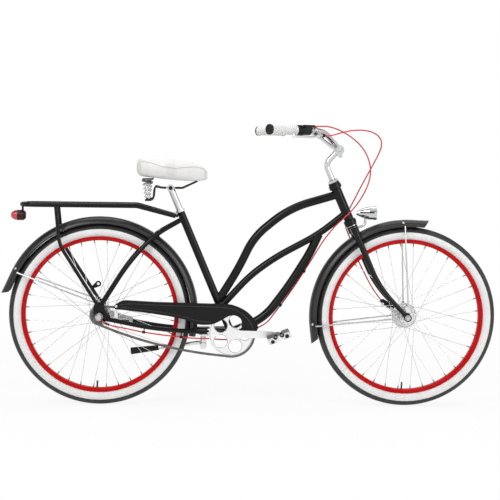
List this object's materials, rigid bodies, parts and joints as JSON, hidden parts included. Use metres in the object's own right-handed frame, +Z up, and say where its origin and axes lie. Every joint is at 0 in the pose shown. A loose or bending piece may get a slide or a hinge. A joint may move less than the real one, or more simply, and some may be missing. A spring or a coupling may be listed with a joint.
{
  "type": "beach cruiser bicycle",
  "caption": "Step-through beach cruiser bicycle with swept handlebar, sprung saddle, fenders, rear rack, lights, chain guard and folding kickstand.",
  "frame": {"origin": "on the ground, midway along the bicycle's length and width", "axes": "+X forward, +Y to the rider's left, +Z up"},
  "size_m": [1.8248, 0.7066, 1.0335],
  "materials": {
    "black_paint": "gloss black paint",
    "red_paint": "gloss red paint",
    "chrome": "mirror chrome",
    "silver": "polished alloy",
    "steel": "plain steel",
    "chain_steel": "grey chain steel",
    "tyre": "black tread with pale sidewalls",
    "white_leather": "white vinyl",
    "white_rubber": "white moulded grip",
    "black_plastic": "black plastic",
    "black_rubber": "black rubber",
    "red_cable": "red cable sleeve",
    "clear_lens": "clear lens",
    "red_lens": "red lens"
  },
  "bodies": {
    "frame": {"head_tube": "black_paint", "upper_tube": "black_paint", "lower_tube": "black_paint", "down_tube": "black_paint", "seat_tube": "black_paint", "bottom_bracket_shell": "black_paint", "rear_dropouts": "black_paint", "chain_stays": "black_paint", "seat_stays": "black_paint", "bearing_cups": "chrome", "rear_fender": "black_paint", "rear_fender_stays": "chrome", "rear_rack": "black_paint", "tail_light_body": "chrome", "tail_light_lens": "red_lens", "chain": "chain_steel", "chain_guard": "black_paint", "rear_axle": "steel", "kickstand_bracket": "silver", "shift_cable": "red_cable", "frame_fasteners": "steel"},
    "fork": {"fork_crown": "black_paint", "fork_blades": "black_paint", "front_axle": "steel", "front_brake_plate": "silver", "stem": "chrome", "handlebar": "chrome", "grips": "white_rubber", "grip_caps": "black_plastic", "shifter_body": "black_plastic", "brake_lever_bracket": "silver", "headlight_shell": "chrome", "headlight_lens": "clear_lens", "front_fender": "black_paint", "front_fender_stays": "chrome", "shift_cable_loop": "red_cable", "front_brake_cable": "red_cable", "fork_fasteners": "chrome"},
    "front_wheel": {"front_tyre": "tyre", "front_rim": "red_paint", "front_spokes": "steel", "front_hub": "silver"},
    "rear_wheel": {"rear_tyre": "tyre", "rear_rim": "red_paint", "rear_spokes": "steel", "rear_hub": "silver"},
    "sprocket": {"rear_sprocket": "steel"},
    "crank": {"chainring": "silver", "crank_arms": "silver"},
    "right_pedal": {"pedal_right": "black_rubber"},
    "left_pedal": {"pedal_left": "black_rubber"},
    "lever": {"brake_lever": "silver"},
    "brake_cam": {"front_brake_arm": "steel"},
    "twist_grip": {"twist_shifter": "black_plastic"},
    "kickstand": {"kickstand_leg": "silver", "kickstand_foot": "black_rubber"},
    "post": {"seat_post": "chrome", "saddle_frame": "chrome", "saddle_springs": "chrome"},
    "saddle": {"saddle_cover": "white_leather"}
  },
  "joints": [
    {"name": "steering", "type": "hinge", "parent": "frame", "child": "fork", "pos_m": [0.36866, 0, 0.676], "axis": [-0.4067, 0, 0.9135], "range_deg": [-60, 60], "deforming": ["shift_cable_loop"]},
    {"name": "front_wheel_spin", "type": "hinge", "parent": "fork", "child": "front_wheel", "pos_m": [0.57939, 0, 0.333], "axis": [0, 1, 0], "continuous": true},
    {"name": "rear_wheel_spin", "type": "hinge", "parent": "frame", "child": "rear_wheel", "pos_m": [-0.55061, 0, 0.333], "axis": [0, 1, 0], "continuous": true},
    {"name": "crank_spin", "type": "hinge", "parent": "frame", "child": "crank", "pos_m": [-0.06961, 0, 0.27], "axis": [0, 1, 0], "continuous": true, "deforming": ["chain"]},
    {"name": "sprocket_spin", "type": "hinge", "parent": "frame", "child": "sprocket", "pos_m": [-0.55061, 0, 0.333], "axis": [0, 1, 0], "continuous": true},
    {"name": "right_pedal_spin", "type": "hinge", "parent": "crank", "child": "right_pedal", "pos_m": [0.10039, -0.12, 0.27], "axis": [0, 1, 0], "continuous": true},
    {"name": "left_pedal_spin", "type": "hinge", "parent": "crank", "child": "left_pedal", "pos_m": [-0.23961, 0.12, 0.27], "axis": [0, 1, 0], "continuous": true},
    {"name": "brake_lever_pull", "type": "hinge", "parent": "fork", "child": "lever", "pos_m": [0.22245, -0.217, 0.99641], "axis": [0.374, -0.4349, 0.8191], "range_deg": [0, 4.5], "stiffness_Nm_per_rad": 2, "springref_deg": -5.73},
    {"name": "brake_cam_turn", "type": "hinge", "parent": "fork", "child": "brake_cam", "pos_m": [0.55539, 0.038, 0.351], "axis": [0, -1, 0], "range_deg": [0, 10]},
    {"name": "twist_shift", "type": "hinge", "parent": "fork", "child": "twist_grip", "pos_m": [0.15002, -0.24529, 1.01447], "axis": [0.7617, 0.648, -0.0038], "range_deg": [0, 70]},
    {"name": "kickstand_swing", "type": "hinge", "parent": "frame", "child": "kickstand", "pos_m": [-0.17061, 0.022, 0.224], "axis": [0, -0.9205, -0.3907], "range_deg": [0, 112]},
    {"name": "seat_height", "type": "slide", "parent": "frame", "child": "post", "axis": [-0.3939, 0, 0.9191], "range_m": [-0.01, 0.08]},
    {"name": "saddle_bounce", "type": "hinge", "parent": "post", "child": "saddle", "pos_m": [-0.19861, 0, 0.83], "axis": [0, -1, 0], "range_deg": [0, 3.5], "stiffness_Nm_per_rad": 1400, "deforming": ["saddle_springs"]}
  ],
  "couplings": [
    {"joint": "sprocket_spin", "follows": "crank_spin", "ratio": 2.625},
    {"joint": "brake_cam_turn", "follows": "brake_lever_pull", "ratio": 2}
  ]
}
